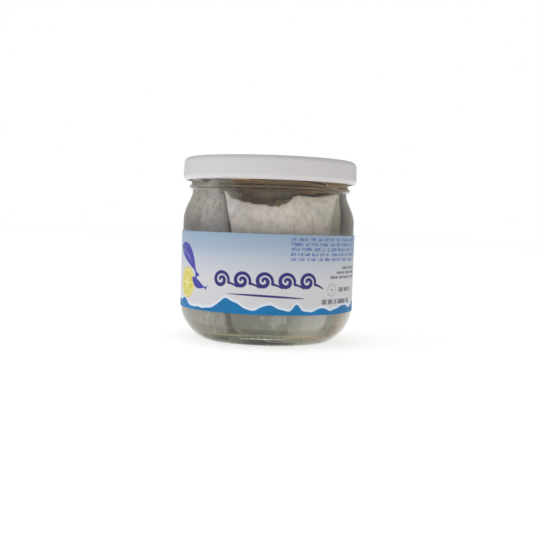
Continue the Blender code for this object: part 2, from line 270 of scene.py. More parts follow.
def label_material(look):
    """Coated paper, offset printed and varnished: flat inks with crisp edges, on a faintly fibrous sheet.

    Each ink's attribute is the distance in mm to the edge of its shapes, and the ink covers what is inside.
    The sky's blues lie between heights in mm above the label's foot. The paper's fibres are too fine to
    show, so they are drawn 0.6 mm across.
    """
    material, node = new_material("coated_paper_offset_printed")
    found = patterns(node, (
        ("fibre", (0.6, 0.6, 0.6), 3.0), ("cloud", (14.0, 14.0, 14.0), 2.0), ("broken", (0.7, 0.7, 1.0), 1.0),
    ))
    up = node("Attribute", out="Fac", attribute_name="up")
    haze = node("Math", {0: found["cloud"], 1: 8.0, 2: up}, operation="MULTIPLY_ADD")
    sheet = covered(node, look.paper_colour, (
        (up, 15.0, 30.0, 1.0, look.sky_pale), (up, 26.0, 38.5, 1.0, look.sky_deep),
        (haze, 24.0, 36.0, 0.22, look.sky_deep),
    ))
    small = node("MapRange", {0: found["broken"], 1: 0.34, 2: 0.58, 4: 0.85})
    marks = node("MapRange", {0: found["broken"], 1: 0.34, 2: 0.58, 3: 0.4, 4: 0.9})
    water = covered(node, look.sea, ((found["cloud"], 0.35, 0.65, 1.0, "0e6ea6"),))
    inks = (
        ("halo", 0.5, 1.0, "e6eef6"),
        ("lemon", 0.12, 1.0, look.lemon), ("lemon_pith", 0.12, 1.0, "efe6a0"),
        ("indigo", 0.12, 1.0, look.indigo), ("indigo_light", 0.12, 1.0, "9d9cc9"),
        ("ornament", 0.12, 1.0, look.ornament_ink), ("small_print", 0.2, small, look.small_print),
        ("marks", 0.2, marks, "4d5260"), ("sea", 0.12, 1.0, water),
    )
    printed = covered(node, sheet, (
        (node("Attribute", out="Fac", attribute_name=key), blur, -blur, cover, ink)
        for key, blur, cover, ink in inks
    ))
    shader = node("BsdfPrincipled", {
        "Base Color": covered(node, printed, ((found["fibre"], 0.3, 0.8, 0.06, "8f959c"),)),
        "IOR": 1.5, "Specular IOR Level": 0.25,
        "Roughness": node("MapRange", {0: found["fibre"], 1: 0.2, 2: 0.8, 3: 0.42, 4: 0.56}),
        "Normal": node("Bump", {"Height": found["fibre"], "Distance": 0.012 * MM}),
    })
    node("OutputMaterial", {"Surface": shader}, None)
    return material


def skin_material(name, look, tones, contrast, seed):
    """Pickled herring: a wet silver-grey skin bleached pinkish by the vinegar, with fine upright streaks
    where the scales were, blotches, and paler flesh at the cut edges and on the inner face.

    The contrast strengthens the skin's patterns. The tones are painted light and shade that multiply its colour:
    at the top, the middle, the foot, and the foot farther round the roll. The arc is in mm from the fillet's
    outer end, where the skin is a little darker. The skin's grain of pigment is too fine to show, so it is
    drawn 0.7 mm across.
    """
    material, node = new_material(name)
    smooth = {"interpolation_type": "SMOOTHSTEP"}
    arc, up, edge, skin_side, back = (
        node("Attribute", out="Fac", attribute_name=key) for key in ("arc", "up", "edge", "skin_side", "back")
    )
    along = node("Math", {0: arc, 1: 40.0 * seed}, operation="ADD")
    place = node("CombineXYZ", {0: along, 1: up, 2: skin_side})
    place = node("VectorMath", {0: place, "Scale": MM}, operation="SCALE")
    found = patterns(node, (
        ("streak", (1.1, 5.0, 1.1), 2.0), ("mottle", (3.6, 5.4, 3.6), 3.0),
        ("blotch", (8.8, 13.2, 11.0), 2.0), ("grain", (0.7, 1.05, 0.7), 2.0), ("fleck", (2.0, 2.4, 2.0), 1.0),
    ), 0.6, place)
    skin = covered(node, look.skin_silver, (
        (found[key], low, high, min(1.0, most * contrast), shade) for key, low, high, most, shade in (
            ("blotch", 0.38, 0.62, 1.0, look.skin_pink), ("mottle", 0.44, 0.68, 0.7, look.skin_grey),
            ("streak", 0.5, 0.72, 0.4, "9c9694"), ("streak", 0.48, 0.3, 0.55, "faf4f4"),
            ("grain", 0.52, 0.7, 0.3, "969092"), ("grain", 0.46, 0.3, 0.4, "fcf8f8"),
        )
    ), **smooth)
    flesh, belly = (
        covered(node, dark, ((found["grain"], 0.36, 0.64, 1.0, pale),))
        for dark, pale in (("d2c5c3", "f9edec"), ("dccbb6", "fff1de"))
    )
    ragged = node("Math", {0: found["mottle"], 1: 5.0, 2: edge}, operation="MULTIPLY_ADD")
    # The back darkens the skin to a3a5a6: the fish's darker back, partly painted shade where the roll's face
    # turns from the glass.
    skin = covered(node, skin, (
        (found["fleck"], 0.72, 0.78, 0.5, "7a716b"), (back, 0.0, 1.0, 0.8, "a3a5a6"),
        (ragged, 4.9, 3.1, 0.8, flesh), (skin_side, 0.0, -0.7, 1.0, belly),
    ), **smooth)
    top, middle, foot, foot_beyond = tones
    # The foot's painted light and shade: the foot tone, the farther tone beyond an arc of 27 to 42 mm, and
    # lighter mottled patches.
    foot = covered(node, foot, (
        (arc, 27.0, 42.0, 1.0, foot_beyond), (found["mottle"], 0.5, 0.62, 0.5, "e4e6e2"),
    ))
    # Painted light and shade by height: the top tone from 54 to 67 mm up, the foot tone below 24 to 15 mm.
    tone_here = covered(node, middle, ((up, 54.0, 67.0, 1.0, top), (up, 24.0, 15.0, 1.0, foot)), **smooth)
    near_end = node("MapRange", {0: arc, 1: 21.0, 2: 11.0})
    for share, shade in ((1.0, tone_here), (near_end, "e8e5e5")):
        skin = node("Mix", {0: share, 6: skin, 7: shade}, 2, data_type="RGBA", blend_type="MULTIPLY")
    relief = node("Math", {0: found["streak"], 1: found["grain"]}, operation="ADD")
    shader = node("BsdfPrincipled", {
        "Base Color": skin, "IOR": 1.45, "Coat Weight": 0.15, "Coat Roughness": 0.3,
        "Subsurface Weight": 0.1, "Subsurface Radius": (1.0, 0.7, 0.5), "Subsurface Scale": 1.2 * MM,
        "Roughness": node("MapRange", {0: found["grain"], 1: 0.3, 2: 0.7, 3: 0.38, 4: 0.55}),
        "Normal": node("Bump", {"Height": relief, "Distance": 0.14 * MM}),
    })
    node("OutputMaterial", {"Surface": shader}, None)
    return material


def spice_material():
    """A dried peppercorn, soaked: dark brown, wrinkled and dull."""
    material, node = new_material("soaked_peppercorn")
    wrinkle = patterns(node, (("wrinkle", (0.9, 0.9, 0.9), 4.0),), 0.7)["wrinkle"]
    shader = node("BsdfPrincipled", {
        "Base Color": covered(node, "33261c", ((wrinkle, 0.3, 0.7, 1.0, "5b4232"),)),
        "Roughness": 0.6, "IOR": 1.45, "Normal": node("Bump", {"Height": wrinkle, "Distance": 0.4 * MM}),
    })
    node("OutputMaterial", {"Surface": shader}, None)
    return material


def floor_material(look):
    """Opal acrylic of a photographer's light table: near white, matt, and glowing softly from below.

    Its tooth is too fine to show, so it is drawn 1.2 mm across.
    """
    material, node = new_material("opal_acrylic_light_table")
    tooth = patterns(node, (("tooth", (1.2, 1.2, 1.2), 2.0),))["tooth"]
    shader = node("BsdfPrincipled", {
        "Base Color": covered(node, look.floor_colour, ((tooth, 0.3, 0.7, 1.0, "f4f4f3"),)),
        "Roughness": 0.8, "IOR": 1.49, "Specular IOR Level": 0.2,
        "Emission Color": "ffffff", "Emission Strength": 0.56,
        "Normal": node("Bump", {"Height": tooth, "Distance": 0.05 * MM}),
    })
    node("OutputMaterial", {"Surface": shader}, None)
    return material


# Sizes and colours

def length(name, description, default):
    return bpy.props.FloatProperty(
        name=name, description=description, default=default, unit="LENGTH", subtype="DISTANCE", precision=4
    )


def tone(name, description, default):
    return bpy.props.FloatVectorProperty(
        name=name, description=description, default=linear(default), size=4, min=0.0, max=1.0, subtype="COLOR"
    )


class JarSizes(bpy.types.PropertyGroup):
    """The sizes that the pieces are worked out from; heights are above the plane that the jar stands on."""

    body_radius: length("Body radius", "Outer radius of the glass under the label", 42.45 * MM)
    inner_radius: length("Inner radius", "Radius of the room inside, under the label", 40.0 * MM)
    mouth_radius: length("Mouth radius", "Inner radius of the neck and mouth", 36.2 * MM)
    neck_radius: length("Neck radius", "Outer radius of the neck", 38.3 * MM)
    finish_radius: length("Finish radius", "Outer radius of the glass that the lid turns on", 38.9 * MM)
    bead_radius: length("Bead radius", "Outer radius of the bead under the lid", 39.9 * MM)
    heel_top: length("Heel top", "Height at which the heel meets the straight body", 14.0 * MM)
    shoulder_bottom: length("Shoulder bottom", "Height at which the body starts to draw in", 58.0 * MM)
    shoulder_top: length("Shoulder top", "Height at which the neck starts", 71.8 * MM)
    brine_level: length("Brine level", "Height of the brine, behind the lid's skirt", 80.0 * MM)
    fillet_thickness: length("Fillet thickness", "Thickness of a fillet along its back", 4.8 * MM)


class JarColours(bpy.types.PropertyGroup):
    """The colours of the finishes."""

    glass_tint: tone("Glass", "What the glass lets through", "fafcfa")
    brine_colour: tone("Brine", "What a unit of brine lets through", "edd596")
    brine_density: bpy.props.FloatProperty(
        name="Brine density", description="How strongly the brine darkens, per metre", default=40.0, min=0.0
    )
    lid_colour: tone("Lid", "White lacquer", "dad7d6")
    paper_colour: tone("Paper", "Bare coated paper", "d8d7d9")
    sky_pale: tone("Pale blue", "Middle of the label's blue", "bcc5d2")
    sky_deep: tone("Light blue", "Top of the label", "93acc2")
    sea: tone("Blue", "The waves along the label's foot", "007cba")
    lemon: tone("Yellow", "The lemon slice", "d9cf5a")
    indigo: tone("Indigo", "The fish", "4643a5")
    ornament_ink: tone("Dark indigo", "The scroll ornament", "34317a")
    small_print: tone("Slate blue", "The small ruled lines", "4a66a8")
    skin_grey: tone("Skin grey", "Darker patches of the skin", "c9bdbe")
    skin_pink: tone("Skin pink", "Paler patches of the skin", "fff1f2")
    skin_silver: tone("Skin silver", "Silvery patches of the skin", "f2ecf0")
    floor_colour: tone("Floor", "The light table's opal top", "efefed")


def sizes():
    return bpy.context.scene.jar_sizes


def colours():
    return bpy.context.scene.jar_colours


def dress(piece, material, slot, *nodes):
    """Gives a piece its material and its body, and hides the nodes that it replaces; its slot is not used."""
    piece.data.materials.append(material)
    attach(piece, "root")
    if nodes:
        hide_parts(*nodes)


# The glass

SHOULDER_SKEW = 0.75
HEEL_SQUARENESS = 1.5
BASE_RING = (26.5 * MM, 30.5 * MM)
PUSH_UP = 2.6 * MM
INNER_FLOOR = 5.0 * MM
INNER_FLOOR_RISE = 1.5 * MM
INNER_FLOOR_RADIUS = 27.0 * MM
INNER_HEEL_TOP = 16.0 * MM
BEAD = (73.6 * MM, 75.6 * MM)
RIM_TOP = 88.0 * MM
THREADS = 4
THREAD_DEPTH = 1.2 * MM
THREAD_SPAN = (83.5 * MM, 77.0 * MM)
THREAD_ARC = math.radians(80)
THREAD_START = math.radians(-36)
KNURLS = 60
KNURL_DEPTH = 0.18 * MM
SEAM_BEARING = math.radians(64)
SEAM_HALF_ARC = math.radians(0.63)
SEAM_RISE = 0.09 * MM
GLASS_SWAY = 0.04 * MM
BRINE_GROWTH = 0.12 * MM
MENISCUS = 1.1 * MM
MENISCUS_REACH = 1.6 * MM


def shoulder_share(height):
    """0 at the neck and 1 at the body: the square of the sine of a quarter turn, fuller towards the body."""
    size = sizes()
    share = (size.shoulder_top - height) / (size.shoulder_top - size.shoulder_bottom)
    return np.sin(np.pi / 2 * np.clip(share, 0, 1) ** SHOULDER_SKEW) ** 2


def inner_wall(height):
    """The radius of the room inside the glass: an ellipse at the heel, straight sides, and the shoulder."""
    size = sizes()
    drop = np.clip((INNER_HEEL_TOP - height) / (INNER_HEEL_TOP - INNER_FLOOR), 0, 1)
    heel = INNER_FLOOR_RADIUS + (size.inner_radius - INNER_FLOOR_RADIUS) * np.sqrt(1 - drop ** 2)
    above = size.mouth_radius + (size.inner_radius - size.mouth_radius) * shoulder_share(height)
    return np.where(height < INNER_HEEL_TOP, heel, above)


def inner_profile(level, grow=0.0):
    """The room's profile, from the floor near the axis, round the heel and up the wall to the level."""
    size = sizes()
    floor_radius = np.linspace(POLE_RADIUS, INNER_FLOOR_RADIUS, 14)
    rise = INNER_FLOOR_RISE * np.cos(np.pi / 2 * floor_radius / INNER_FLOOR_RADIUS) ** 2
    floor = together(floor_radius, INNER_FLOOR + rise)
    heel = arc(
        (INNER_FLOOR_RADIUS, INNER_HEEL_TOP),
        (size.inner_radius - INNER_FLOOR_RADIUS, INNER_HEEL_TOP - INNER_FLOOR), -90, 0, 20,
    )[1:]
    heights = np.r_[np.linspace(INNER_HEEL_TOP, size.shoulder_bottom, 30)[1:],
                    np.linspace(size.shoulder_bottom, size.shoulder_top, 32)[1:],
                    np.linspace(size.shoulder_top, level, 10)[1:]]
    wall = together(inner_wall(heights), heights)
    profile = np.vstack([floor, heel, wall])
    step = np.gradient(profile, axis=0)
    outwards = together(step[:, 1], -step[:, 0]) / np.hypot(*step.T)[:, None]
    return profile + outwards * grow


def outer_profile():
    """The outside, from the rim down over the finish, bead, neck, shoulder, body and heel to the push-up."""
    size = sizes()
    finish = together(size.finish_radius, np.linspace(RIM_TOP - 1.4 * MM, BEAD[1], 44))
    bead_height = (BEAD[1] - BEAD[0]) / 2
    bead = arc(
        (size.finish_radius, BEAD[0] + bead_height), (size.bead_radius - size.finish_radius, bead_height),
        90, -90, 16,
    )[1:]
    heights = np.linspace(BEAD[0] - 0.3 * MM, size.shoulder_bottom, 40)
    reach = size.body_radius - size.neck_radius
    shoulder = together(size.neck_radius + reach * shoulder_share(heights), heights)
    body_heights = np.linspace(size.shoulder_bottom, size.heel_top, 24)[1:]
    body = together(size.body_radius, body_heights)
    turn = np.linspace(0, np.pi / 2, 26)[1:]
    power = 2 / HEEL_SQUARENESS
    heel = together(
        BASE_RING[1] + (size.body_radius - BASE_RING[1]) * np.cos(turn) ** power,
        size.heel_top * (1 - np.sin(turn) ** power),
    )
    inwards = np.linspace(BASE_RING[0], POLE_RADIUS, 16)
    hollow = together(inwards, PUSH_UP * np.cos(np.pi / 2 * inwards / BASE_RING[0]) ** 0.8)
    return np.vstack([finish, bead, shoulder, body, heel, [(BASE_RING[0] + 0.4 * MM, 0.0)], hollow])


def thread_rise(bearing, height):
    """How far the thread stands out: a round ridge along each ridge's falling line, thinner at its ends."""
    rise = np.zeros(np.broadcast(bearing, height).shape)
    for number in range(THREADS):
        start = THREAD_START + ROUND * number / THREADS
        share = (((bearing - start + np.pi / 2) % ROUND) - np.pi / 2) / THREAD_ARC
        middle = THREAD_SPAN[0] + (THREAD_SPAN[1] - THREAD_SPAN[0]) * share
        size = THREAD_DEPTH * np.sqrt(np.clip(np.sin(np.pi * np.clip(share, 0, 1)), 0, 1))
        reach = np.clip(np.abs(height - middle) / (THREAD_DEPTH * 1.15), 0, 1)
        rise = np.maximum(rise, size * np.cos(np.pi / 2 * reach) ** 1.4)
    return rise


class JAR_OT_glass(bpy.types.Operator):
    """Adds the glass: a profile turned round the axis, with thread ridges, mould seams and a knurled base"""

    bl_idname = "jar.glass"
    bl_label = "Glass Jar"

    def execute(self, context):
        size = sizes()
        rim = (size.finish_radius - size.mouth_radius) / 2
        inside = inner_profile(RIM_TOP - rim)
        over = arc((size.mouth_radius + rim, RIM_TOP - rim), (rim, rim), 180, 0, 12)[1:]
        profile = np.vstack([inside, over, outer_profile()])
        bearings, radii, heights = turned_grid(profile, 288)
        is_outside = np.arange(len(profile)) >= len(inside) + len(over)
        on_finish = is_outside & (profile[:, 1] > BEAD[1]) & (profile[:, 1] < RIM_TOP - 2 * MM)
        radii += np.where(on_finish, thread_rise(bearings, heights), 0.0)
        on_body = is_outside & (profile[:, 1] > 1.5 * MM) & (profile[:, 1] < BEAD[0])
        sway = patches(bearings * size.body_radius, heights, 13 * MM, 11 * MM, 3)
        sway = sway * np.sin(bearings / 2) ** 0.2 * eased((size.shoulder_top - heights) / (12 * MM))
        radii += np.where(on_body, GLASS_SWAY * sway, 0.0)
        seam = np.abs(np.sin(bearings - SEAM_BEARING)) < math.sin(SEAM_HALF_ARC)
        radii += np.where(on_body & seam, SEAM_RISE, 0.0)
        at_ring = (radii > BASE_RING[0]) & (radii < BASE_RING[1] + 1.5 * MM) & (heights < 1.2 * MM)
        heights += np.where(is_outside & at_ring, KNURL_DEPTH * (1 - np.cos(bearings * KNURLS)) / 2, 0.0)
        piece = turned_piece("glass_jar", bearings, radii, heights, INNER_FLOOR + INNER_FLOOR_RISE, PUSH_UP)
        dress(piece, glass_material(colours()), "glass", "jar")
        return {"FINISHED"}


class JAR_OT_brine(bpy.types.Operator):
    """Adds the brine: the room's own profile grown just into the glass, with a meniscus at its level"""

    bl_idname = "jar.brine"
    bl_label = "Brine"

    def execute(self, context):
        level = sizes().brine_level
        side = inner_profile(level, grow=BRINE_GROWTH)
        across = np.linspace(side[-1, 0], POLE_RADIUS, 24)[1:]
        climb = MENISCUS * np.exp(-(side[-1, 0] - across) / MENISCUS_REACH)
        surface = together(across, level - MENISCUS + climb)
        floor = INNER_FLOOR + INNER_FLOOR_RISE - BRINE_GROWTH
        piece = turned_piece("brine", *turned_grid(np.vstack([side, surface]), 192), floor, level - MENISCUS)
        dress(piece, brine_material(colours()), "glass")
        return {"FINISHED"}


# The lid

LID_RADIUS = 43.0 * MM
LID_BOTTOM = 77.7 * MM
LID_TOP = 88.9 * MM
LID_WALL = 0.6 * MM
LID_SHOULDER = 2.6 * MM
SKIRT_DRAFT = 0.25 * MM
PANEL_EDGE = 35.4 * MM
PANEL_DROP = 0.9 * MM
PANEL_SLOPE = 1.2 * MM
BUTTON_RADIUS = 13.0 * MM
BUTTON_RISE = 0.4 * MM
BUTTON_SLOPE = 1.6 * MM
RING_RADIUS = 22.5 * MM
RING_HALF_WIDTH = 0.8 * MM
RING_RISE = 0.16 * MM
LUG_BEARING = THREAD_START + math.radians(8)
LUG_REACH = 1.85 * MM
LUG_HALF_WIDTH = 4.5 * MM
CURL_RADIUS = 0.95 * MM
# The radii, across and up, of the arcs on the outside and on the inside of the curl.
CURL_OUTER = (1.8 * MM, 2.4 * MM)
CURL_INNER = (0.4 * MM, 1.7 * MM)


def panel_height(radius):
    """The lid's top: a flat rim, an eased step down to the panel, a shallow ring, and the safety button."""
    step = eased((PANEL_EDGE - radius) / PANEL_SLOPE)
    button = eased((BUTTON_RADIUS + BUTTON_SLOPE / 2 - radius) / BUTTON_SLOPE)
    ring = RING_RISE * np.exp(-((radius - RING_RADIUS) / RING_HALF_WIDTH) ** 2)
    return LID_TOP - PANEL_DROP * step + BUTTON_RISE * button + ring


class JAR_OT_lid(bpy.types.Operator):
    """Adds the lid: a stamped sheet turned round the axis, its edge curled under, with four lugs"""

    bl_idname = "jar.lid"
    bl_label = "Twist-off Lid"

    def execute(self, context):
        skirt = LID_RADIUS - SKIRT_DRAFT
        bend_middle = (skirt - LID_SHOULDER, LID_TOP - LID_SHOULDER)
        flat = np.linspace(POLE_RADIUS, bend_middle[0], 90)[:-1]
        top = together(flat, panel_height(flat))
        shoulder = arc(bend_middle, (LID_SHOULDER, LID_SHOULDER), 90, 0, 18)
        side_heights = np.linspace(bend_middle[1], LID_BOTTOM + CURL_OUTER[1], 14)[1:-1]
        side = together(np.linspace(skirt, LID_RADIUS, 14)[1:-1], side_heights)
        under_curl = LID_RADIUS - CURL_OUTER[0]
        curl = np.vstack([
            arc((under_curl, LID_BOTTOM + CURL_OUTER[1]), CURL_OUTER, 0, -90, 16),
            arc((under_curl, LID_BOTTOM + CURL_INNER[1]), CURL_INNER, -90, -235, 18)[1:],
        ])
        inner = LID_SHOULDER - LID_WALL
        back_heights = np.linspace(LID_BOTTOM + 2.3 * CURL_INNER[1], bend_middle[1], 10)
        back = together(skirt - LID_WALL, back_heights)
        bend = arc(bend_middle, (inner, inner), 0, 90, 10)[1:]
        under = together(flat[::-1], panel_height(flat[::-1]) - LID_WALL)
        before, after = (top, shoulder, side), (back, bend, under)
        profile = np.vstack([*before, curl, *after])
        bearings, radii, heights = turned_grid(profile, 256)
        lug_place = (bearings - LUG_BEARING + np.pi / THREADS) % (ROUND / THREADS) - np.pi / THREADS
        lug = eased(1.6 - np.abs(lug_place) * LID_RADIUS / LUG_HALF_WIDTH)
        on_curl = np.repeat([0.0, 1.0, 0.0], [sum(map(len, before)), len(curl), sum(map(len, after))])
        depth = np.clip((LID_RADIUS - CURL_RADIUS * 0.7 - profile[:, 0]) / CURL_RADIUS, 0, 1) * on_curl
        radii -= lug * depth * (LUG_REACH - CURL_RADIUS)
        middle = LID_TOP - PANEL_DROP + BUTTON_RISE
        piece = turned_piece("twist_off_lid", bearings, radii, heights, middle, middle - LID_WALL)
        dress(piece, lacquer_material(colours()), "lacquered_tinplate", "lid")
        return {"FINISHED"}


# The label

LABEL_BOTTOM = 15.9 * MM
LABEL_HEIGHT = 37.1 * MM
LABEL_RADIUS = 43.0 * MM
LABEL_THICKNESS = 0.25 * MM
LABEL_RIPPLE = 0.03 * MM
LABEL_BARE_ARC = math.radians(27)
# How far apart the points are that hold the print.
PRINT_GRAIN = 0.34 * MM

# The print's places and sizes are in mm, round the label from its front and up from its foot.
FAR = 1000.0
LEMON = (-47.0, 12.4)
LEMON_RADIUS = 7.4
PITH_RADIUS = 6.3
SCROLLS = 5
SCROLL_PITCH = 10.4
RING_MARK = (34.3, 11.6)
# Each swell of the sea: its middle, its height and its width.
SWELLS = (
    (-63, 3.2, 8), (-50, 3.4, 4.5), (-19.5, 5.2, 5.2), (-13, 2.0, 3.5), (1.5, 3.0, 5.5), (14.5, 3.6, 2.3),
    (28, 1.7, 4.2), (44, 2.6, 6.5), (60, 3.8, 6), (78, 2.6, 8), (97, 4.4, 5.5), (115, 3.0, 7),
    (-80, 4.6, 6), (-98, 2.4, 7), (-116, 3.8, 6),
)
SMALL_PRINT = (
    (10.8, 57.5, 35.0, 5, 2.3, 1.5, 11), (78.0, 108.0, 33.0, 9, 2.3, 1.2, 12),
    (-116.0, -74.0, 33.0, 6, 2.4, 1.3, 14),
)
MARKS = (
    (42.0, 57.0, 21.8, 1, 2.0, 1.2, 21), (37.5, 57.0, 19.6, 1, 2.0, 1.2, 22),
    (33.0, 57.0, 17.4, 1, 2.0, 1.2, 23), (39.5, 52.0, 11.6, 1, 2.0, 2.0, 24),
    (28.0, 50.0, 6.0, 1, 2.0, 2.3, 25),
)


def gap_to_path(x, y, path, half_width):
    """The distance in mm from each point to a stroke along a path, less the stroke's half width there."""
    best = np.full(np.shape(x), FAR)
    for (ax, ay), (bx, by), wa, wb in zip(path[:-1], path[1:], half_width[:-1], half_width[1:]):
        dx, dy = bx - ax, by - ay
        share = np.clip(((x - ax) * dx + (y - ay) * dy) / max(dx * dx + dy * dy, 1e-9), 0, 1)
        gap = np.hypot(x - ax - dx * share, y - ay - dy * share) - (wa + (wb - wa) * share)
        best = np.minimum(best, gap)
    return best


def gap_to_outline(x, y, outline):
    """The gap in mm to a closed outline, negative inside: where a ray crosses it an odd number of times."""
    inside = np.zeros(np.shape(x), bool)
    for (ax, ay), (bx, by) in zip(outline, np.roll(outline, -1, axis=0)):
        crosses = (ay > y) != (by > y)
        at = ax + (y - ay) * (bx - ax) / (by - ay if by != ay else 1e-9)
        inside ^= crosses & (x < at)
    closed = np.vstack([outline, outline[:1]])
    gap = gap_to_path(x, y, closed, np.zeros(len(closed)))
    return np.where(inside, -gap, gap)


def gap_to_bars(x, y, bars):
    """The distance in mm to the nearest of many upright rectangles, each a middle and half sizes."""
    best = np.full(np.shape(x), FAR)
    for middle_x, middle_y, half_x, half_y in bars:
        best = np.minimum(best, np.maximum(np.abs(x - middle_x) - half_x, np.abs(y - middle_y) - half_y))
    return best


def fish_outline(middle, length_mm, tilt, bend):
    """A plain herring seen from the side: a body as a bent sine bulge, and a forked tail."""
    share = np.linspace(0, 1, 22)
    girth = 0.18 * np.sin(np.pi * share ** 0.8) ** 0.9 + 0.014
    tail = np.array([(1.02, 0.03), (1.2, 0.13), (1.13, 0.0), (1.2, -0.13), (1.02, -0.03)])
    upper = together(share[:-1], girth[:-1])
    lower = together(share[:-1], -girth[:-1])[::-1]
    outline = np.vstack([upper, tail, lower])
    outline[:, 0] -= 0.55
    outline[:, 1] += bend * (outline[:, 0] ** 2 - 0.1)
    outline *= length_mm
    c, s = math.cos(math.radians(tilt)), math.sin(math.radians(tilt))
    return outline @ np.array([(c, s), (-s, c)]) + middle


def scroll_path(middle, size, tail):
    """A running scroll: a spiral that grows evenly for a turn and a half, then sweeps out to the next one."""
    turn = np.linspace(0, 3.1 * np.pi, 34)
    radius = size * (0.12 + 0.88 * (turn / turn[-1]) ** 0.9)
    spiral = together(middle[0] - radius * np.cos(turn), middle[1] + radius * np.sin(turn))
    reach = np.linspace(0, 1, 8)[1:]
    last = spiral[-1]
    sweep = together(last[0] + tail[0] * reach, last[1] + tail[1] * reach ** 1.6)
    return np.vstack([spiral, sweep])


def wave_top(x):
    """The height of the sea in mm: rounded swells of several widths, each a bell curve, over a low chop."""
    total = np.zeros(np.shape(x))
    for middle, height, width in SWELLS:
        total = total + height * np.exp(-((x - middle) / width) ** 2)
    return 1.5 + total + 0.25 * np.sin(x * 0.9) * np.sin(x * 0.23)


def text_bars(blocks):
    """Broken bars in ruled lines, which stand for small print: word lengths are drawn by a seeded rule.

    A block is its left and right end, its first line's height, its number of lines, their pitch, the bars'
    height and the seed.
    """
    bars = []
    for left, right, top, lines, pitch, height, seed in blocks:
        random = np.random.default_rng(seed)
        for line in range(lines):
            x = left
            while x < right - 1.5:
                word = min(random.uniform(2.2, 7.0), right - x)
                bars.append((x + word / 2, top - pitch * line, word / 2, height / 2))
                x += word + random.uniform(0.8, 1.2)
    return bars


def label_print(x, y):
    """Every ink's distance field in mm, at x round the label from its front and y above its foot."""
    fields = {"sea": (y - wave_top(x)) * 0.75}
    fields["halo"] = fields["sea"] - 0.8
    from_lemon = np.hypot(x - LEMON[0], y - LEMON[1])
    angle = np.arctan2(y - LEMON[1], x - LEMON[0])
    fields["lemon"] = from_lemon - LEMON_RADIUS
    spoke = np.abs(np.sin(4 * angle)) * from_lemon / 4 - 0.28
    spoke = np.where(from_lemon < PITH_RADIUS, spoke, FAR)
    pith = np.minimum(spoke, np.abs(from_lemon - PITH_RADIUS) - 0.3)
    fields["lemon_pith"] = np.maximum(pith, from_lemon - LEMON_RADIUS + 0.2)
    leaping = fish_outline((-46.0, 24.8), 21.0, -36.0, -0.5)
    low_fish = fish_outline((-36.6, 12.4), 10.5, -22.0, 0.3)
    fields["indigo"] = np.minimum(gap_to_outline(x, y, leaping), gap_to_outline(x, y, low_fish))
    eye = np.hypot(x + 54.0, y - 27.7) - 0.55
    gill = gap_to_path(x, y, [(-51.9, 28.9), (-51.2, 27.4), (-51.6, 25.9)], [0.2, 0.3, 0.15])
    stripe = gap_to_path(x, y, [(-50.0, 27.2), (-46.0, 25.4), (-41.5, 21.2)], [0.1, 0.32, 0.05])
    fields["indigo_light"] = np.minimum(np.minimum(eye, gill), stripe)
    ornament = np.full(np.shape(x), FAR)
    for number in range(SCROLLS):
        path = scroll_path((-22.0 + SCROLL_PITCH * number, 15.4), 4.1, (4.6, -1.8))
        width = 0.28 + 0.62 * np.sin(np.pi * np.linspace(0.12, 0.97, len(path)))
        ornament = np.minimum(ornament, gap_to_path(x, y, path, width))
    swoosh_x = np.linspace(-18.5, 18.0, 16)
    swoosh = together(swoosh_x, 9.0 - 1.3 * ((swoosh_x + 18.5) / 36.5) ** 2)
    swoosh_width = 0.1 + 0.42 * np.sin(np.linspace(0.1, 2.9, 16))
    fields["ornament"] = np.minimum(ornament, gap_to_path(x, y, swoosh, swoosh_width))
    fields["small_print"] = gap_to_bars(x, y, text_bars(SMALL_PRINT))
    rule_lines = [(69.0, height, 5.6, 0.14) for height in (34.0, 29.6, 25.2, 20.8, 16.4, 12.0)]
    table_lines = [(60.6, 23.0, 0.14, 11.0), (77.4 - 2.8, 23.0, 0.14, 11.0)]
    stripes = np.cumsum(np.random.default_rng(5).choice([0.9, 1.35, 1.8, 2.25], 20))
    code = [(-112.0 + place, 14.2, 0.36, 4.6) for place in stripes]
    mark_x, mark_y = RING_MARK
    cross = [(mark_x, mark_y, 0.16, 2.0), (mark_x, mark_y, 1.6, 0.16)]
    ring = np.abs(np.hypot(x - mark_x, y - mark_y) - 2.9) - 0.16
    bars = gap_to_bars(x, y, text_bars(MARKS) + rule_lines + table_lines + code + cross)
    fields["marks"] = np.minimum(bars, ring)
    return fields


